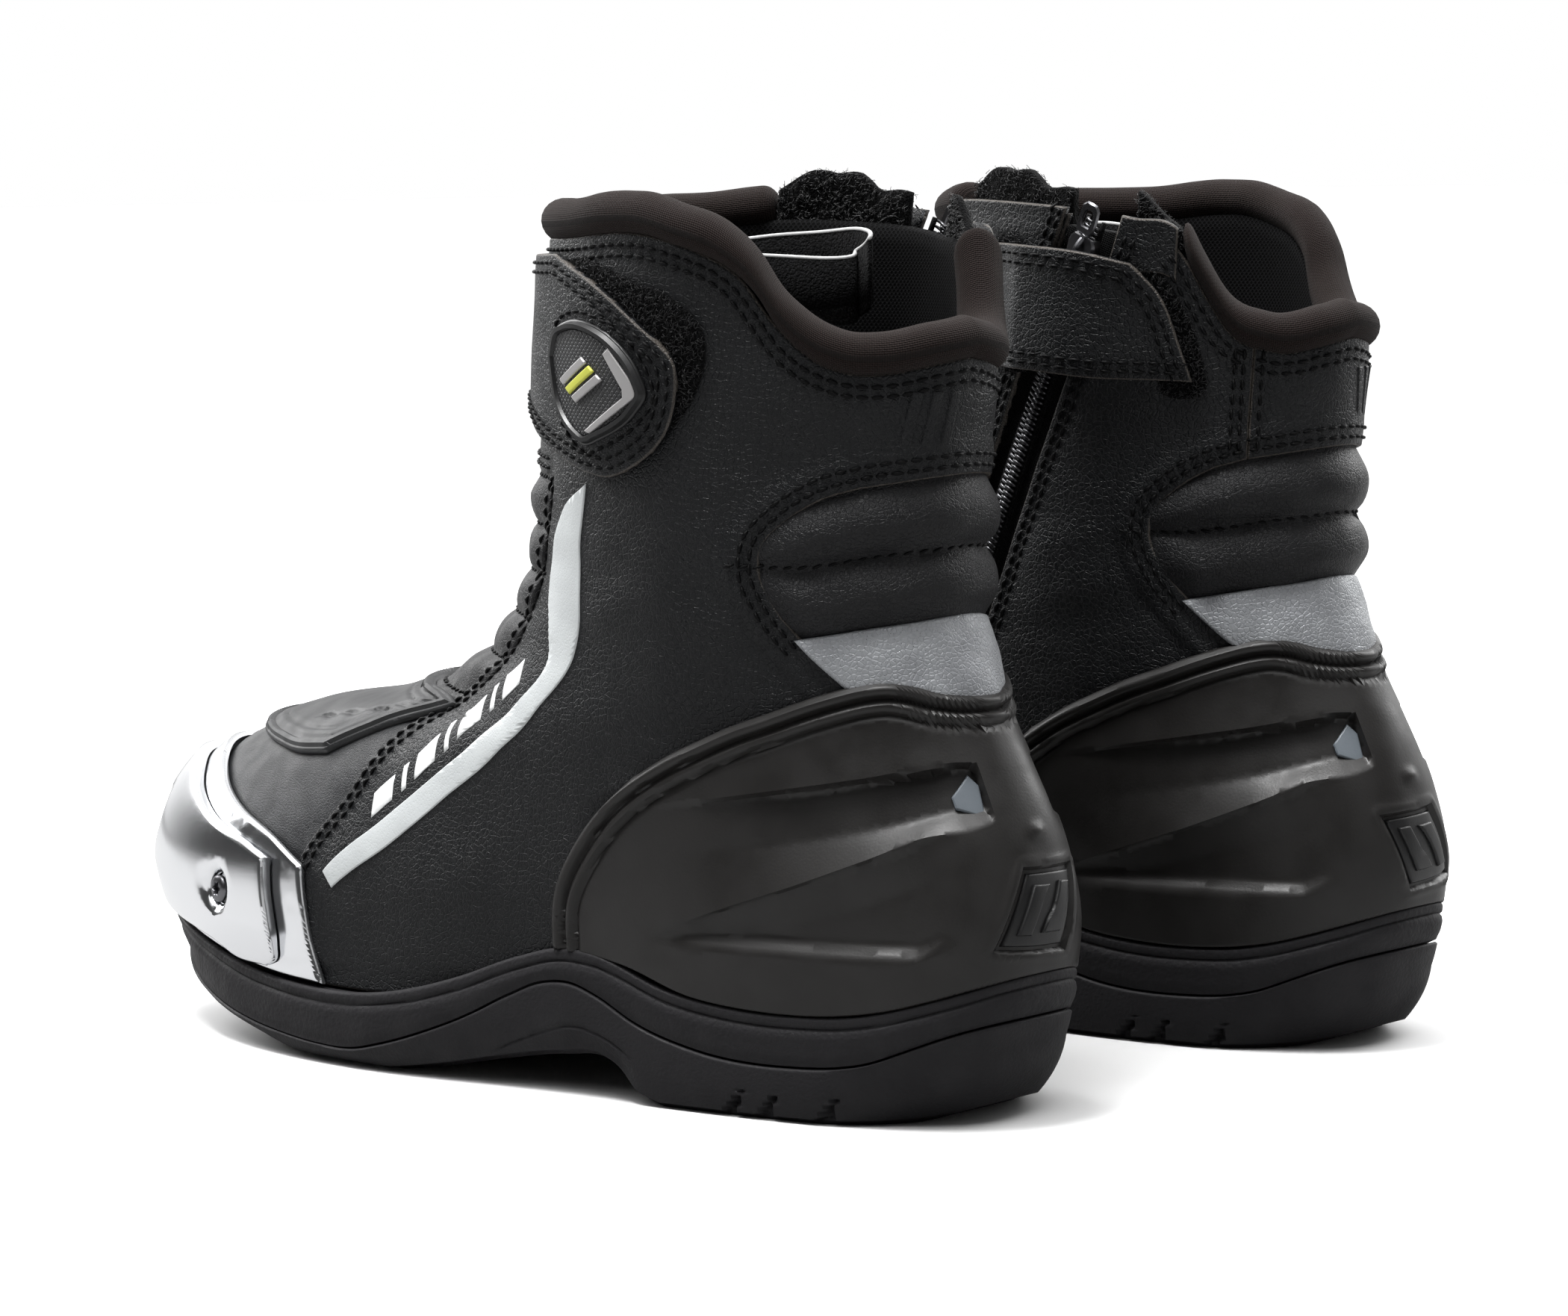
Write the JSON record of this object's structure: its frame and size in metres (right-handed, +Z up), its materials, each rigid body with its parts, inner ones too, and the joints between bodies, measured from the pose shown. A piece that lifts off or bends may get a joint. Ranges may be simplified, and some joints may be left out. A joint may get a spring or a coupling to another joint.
{
  "type": "motorcycle riding boots",
  "caption": "Pair of short leather motorcycle boots with a cupped sole, moulded heel cup, metal toe slider, side zip under a flap, ankle strap and padded collar.",
  "frame": {"origin": "centre of the pair's footprint, on the ground", "axes": "+Z up, toes towards -Y, left boot on +X, right boot on -X; each boot's outer side faces away from the other"},
  "size_m": [0.254, 0.3303, 0.2313],
  "materials": {
    "leather": "fine grain",
    "vamp_leather": "smooth, matte",
    "rubber": "matte",
    "cup_plastic": "satin",
    "chrome": "polished",
    "steel": "dark",
    "silver_cloth": "reflective",
    "knit": "ribbed knit",
    "mesh": "open mesh",
    "board": "pressed fibre",
    "foam": "foam",
    "plastic": "moulded"
  },
  "bodies": {
    "left_boot": {"left_outsole": "rubber", "left_midsole": "rubber", "left_shank": "steel", "left_insole_board": "board", "left_footbed": "foam", "left_lining": "mesh", "left_toe_puff": "plastic", "left_heel_counter": "plastic", "left_vamp": "vamp_leather", "left_shift_pad": "rubber", "left_lateral_quarter": "leather", "left_medial_quarter": "leather", "left_reflective_strip": "silver_cloth", "left_front_accordion": "leather", "left_rear_accordion": "leather", "left_reflective_rib": "silver_cloth", "left_heel_cup": "cup_plastic", "left_heel_badge": "rubber", "left_toe_slider_base": "chrome", "left_toe_slider_plate": "chrome", "left_toe_screw_rear": "steel", "left_toe_screw_front": "steel", "left_collar": "knit", "left_zip_tape": "mesh", "left_zip_coil": "plastic"},
    "left_closure_strap": {"left_strap": "leather", "left_strap_badge": "rubber"},
    "left_closure_flap": {"left_zip_flap": "leather"},
    "left_zip_runner": {"left_zip_slider": "steel"},
    "left_zip_tab": {"left_zip_pull": "steel"},
    "right_boot": {"right_outsole": "rubber", "right_midsole": "rubber", "right_shank": "steel", "right_insole_board": "board", "right_footbed": "foam", "right_lining": "mesh", "right_toe_puff": "plastic", "right_heel_counter": "plastic", "right_vamp": "vamp_leather", "right_shift_pad": "rubber", "right_lateral_quarter": "leather", "right_medial_quarter": "leather", "right_reflective_strip": "silver_cloth", "right_front_accordion": "leather", "right_rear_accordion": "leather", "right_reflective_rib": "silver_cloth", "right_heel_cup": "cup_plastic", "right_heel_badge": "rubber", "right_toe_slider_base": "chrome", "right_toe_slider_plate": "chrome", "right_toe_screw_rear": "steel", "right_toe_screw_front": "steel", "right_collar": "knit", "right_zip_tape": "mesh", "right_zip_coil": "plastic"},
    "right_closure_strap": {"right_strap": "leather", "right_strap_badge": "rubber"},
    "right_closure_flap": {"right_zip_flap": "leather"},
    "right_zip_runner": {"right_zip_slider": "steel"},
    "right_zip_tab": {"right_zip_pull": "steel"}
  },
  "joints": [
    {"name": "left_strap_swing", "type": "hinge", "parent": "left_boot", "child": "left_closure_strap", "pos_m": [0.03869, 0.00286, 0.19477], "axis": [0.0416, -0.1267, -0.9911], "range_deg": [0, 95]},
    {"name": "left_flap_swing", "type": "hinge", "parent": "left_boot", "child": "left_closure_flap", "pos_m": [0.02136, 0.04127, 0.19843], "axis": [-0.0192, -0.0044, 0.9998], "range_deg": [0, 36]},
    {"name": "left_zip_run", "type": "slide", "parent": "left_boot", "child": "left_zip_runner", "axis": [0.0427, -0.4199, -0.9066], "range_m": [0, 0.1]},
    {"name": "left_pull_swing", "type": "hinge", "parent": "left_zip_runner", "child": "left_zip_tab", "pos_m": [0.01862, 0.07332, 0.21728], "axis": [0, -0.9074, 0.4203], "range_deg": [0, 85]},
    {"name": "right_strap_swing", "type": "hinge", "parent": "right_boot", "child": "right_closure_strap", "pos_m": [-0.03869, 0.01886, 0.19477], "axis": [0.0416, 0.1267, 0.9911], "range_deg": [0, 95]},
    {"name": "right_flap_swing", "type": "hinge", "parent": "right_boot", "child": "right_closure_flap", "pos_m": [-0.02136, 0.05727, 0.19843], "axis": [-0.0192, 0.0044, -0.9998], "range_deg": [0, 36]},
    {"name": "right_zip_run", "type": "slide", "parent": "right_boot", "child": "right_zip_runner", "axis": [-0.0427, -0.4199, -0.9066], "range_m": [0, 0.1]},
    {"name": "right_pull_swing", "type": "hinge", "parent": "right_zip_runner", "child": "right_zip_tab", "pos_m": [-0.01862, 0.08932, 0.21728], "axis": [0, 0.9074, -0.4203], "range_deg": [0, 85]},
    {"name": "right_boot_lift", "type": "slide", "parent": "left_boot", "child": "right_boot", "axis": [0, 0, 1], "range_m": [0, 0.25]}
  ]
}
